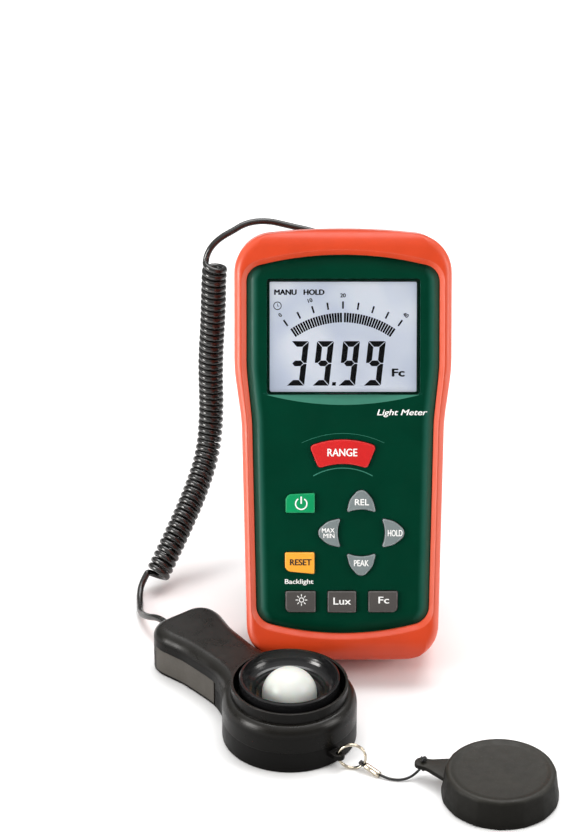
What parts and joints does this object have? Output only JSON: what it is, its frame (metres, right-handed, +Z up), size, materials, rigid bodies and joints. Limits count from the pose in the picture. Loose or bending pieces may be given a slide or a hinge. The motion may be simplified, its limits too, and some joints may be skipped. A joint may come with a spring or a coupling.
{
  "type": "light meter",
  "caption": "Hand-held digital light meter in a rubber boot on its tilt stand, with a domed light sensor on a curly cord and a sensor cap on a lanyard.",
  "frame": {"origin": "middle of the flat foot on the boot's lower rear edge, on the surface that the meter stands on", "axes": "+Z up, the display faces -Y and leans back by 25 degrees, +X to the reader's right"},
  "size_m": [0.1444, 0.1942, 0.1445],
  "materials": {
    "boot_rubber": "satin",
    "case_green": "satin",
    "steel": "satin",
    "window": "gloss",
    "lcd": "satin",
    "white_plastic": "matte",
    "elastomer": "matte",
    "board": "satin",
    "chip": "satin",
    "battery_can": "satin",
    "black_plastic": "satin",
    "wire": "gloss",
    "black_rubber": "matte",
    "key_red": "satin",
    "key_green": "satin",
    "key_yellow": "satin",
    "key_grey": "satin",
    "key_dark": "satin",
    "cord": "gloss",
    "sensor_black": "satin",
    "cup_black": "gloss",
    "dome_white": "satin",
    "filter": "gloss",
    "grip": "matte",
    "nickel": "polished",
    "string": "matte",
    "cap_rubber": "matte"
  },
  "bodies": {
    "meter": {"rubber_boot": "boot_rubber", "front_case": "case_green", "rear_case": "case_green", "window_lens": "window", "lcd_glass": "lcd", "lcd_frame": "white_plastic", "backlight_panel": "white_plastic", "zebra_strips": "elastomer", "main_board": "board", "controller_chip": "chip", "keypad_mat": "elastomer", "battery": "battery_can", "battery_snap": "black_plastic", "battery_leads": "wire", "case_screws": "steel", "board_screws": "steel", "cord_gland": "black_rubber", "stand_pin": "steel", "cord_upper_lead": "cord", "cord_coil": "cord", "cord_lower_lead": "cord"},
    "stand": {"tilt_stand": "case_green"},
    "door": {"battery_door": "case_green", "door_screw": "steel"},
    "sensor": {"probe_shell": "sensor_black", "probe_base": "sensor_black", "sensor_cup": "cup_black", "diffuser_dome": "dome_white", "light_filter": "filter", "photodiode": "chip", "sensor_board": "board", "grip_inserts": "grip", "probe_screws": "steel", "probe_gland": "black_rubber", "split_ring": "nickel", "lanyard_loop": "string", "lanyard_ferrule": "nickel", "lanyard_cord": "string"},
    "cap": {"sensor_cap": "cap_rubber", "lanyard_knots": "string"},
    "key_range": {"key_range": "key_red"},
    "key_power": {"key_power": "key_green"},
    "key_reset": {"key_reset": "key_yellow"},
    "key_relative": {"key_relative": "key_grey"},
    "key_max_min": {"key_max_min": "key_grey"},
    "key_hold": {"key_hold": "key_grey"},
    "key_peak": {"key_peak": "key_grey"},
    "key_backlight": {"key_backlight": "key_dark"},
    "key_lux": {"key_lux": "key_dark"},
    "key_footcandle": {"key_footcandle": "key_dark"}
  },
  "joints": [
    {"name": "press_range", "type": "slide", "parent": "meter", "child": "key_range", "axis": [0, 0.9063, -0.4226], "range_m": [0, 0.0008], "stiffness_N_per_m": 300},
    {"name": "press_power", "type": "slide", "parent": "meter", "child": "key_power", "axis": [0, 0.9063, -0.4226], "range_m": [0, 0.0008], "stiffness_N_per_m": 300},
    {"name": "press_reset", "type": "slide", "parent": "meter", "child": "key_reset", "axis": [0, 0.9063, -0.4226], "range_m": [0, 0.0008], "stiffness_N_per_m": 300},
    {"name": "press_relative", "type": "slide", "parent": "meter", "child": "key_relative", "axis": [0, 0.9063, -0.4226], "range_m": [0, 0.0008], "stiffness_N_per_m": 300},
    {"name": "press_max_min", "type": "slide", "parent": "meter", "child": "key_max_min", "axis": [0, 0.9063, -0.4226], "range_m": [0, 0.0008], "stiffness_N_per_m": 300},
    {"name": "press_hold", "type": "slide", "parent": "meter", "child": "key_hold", "axis": [0, 0.9063, -0.4226], "range_m": [0, 0.0008], "stiffness_N_per_m": 300},
    {"name": "press_peak", "type": "slide", "parent": "meter", "child": "key_peak", "axis": [0, 0.9063, -0.4226], "range_m": [0, 0.0008], "stiffness_N_per_m": 300},
    {"name": "press_backlight", "type": "slide", "parent": "meter", "child": "key_backlight", "axis": [0, 0.9063, -0.4226], "range_m": [0, 0.0008], "stiffness_N_per_m": 300},
    {"name": "press_lux", "type": "slide", "parent": "meter", "child": "key_lux", "axis": [0, 0.9063, -0.4226], "range_m": [0, 0.0008], "stiffness_N_per_m": 300},
    {"name": "press_footcandle", "type": "slide", "parent": "meter", "child": "key_footcandle", "axis": [0, 0.9063, -0.4226], "range_m": [0, 0.0008], "stiffness_N_per_m": 300},
    {"name": "stand_hinge", "type": "hinge", "parent": "meter", "child": "stand", "pos_m": [0, 0.04404, 0.07923], "axis": [1, 0, 0], "range_deg": [-42.6, 0]},
    {"name": "door_lift", "type": "slide", "parent": "meter", "child": "door", "axis": [0, 0.9063, -0.4226], "range_m": [0, 0.012]},
    {"name": "sensor_pull", "type": "slide", "parent": "meter", "child": "sensor", "axis": [-0.35, -0.9367, 0], "range_m": [0, 0.06], "deforming": ["cord_coil", "cord_lower_lead"]},
    {"name": "cap_lift", "type": "slide", "parent": "sensor", "child": "cap", "axis": [0, 0, 1], "range_m": [0, 0.012], "deforming": ["lanyard_cord"]}
  ]
}
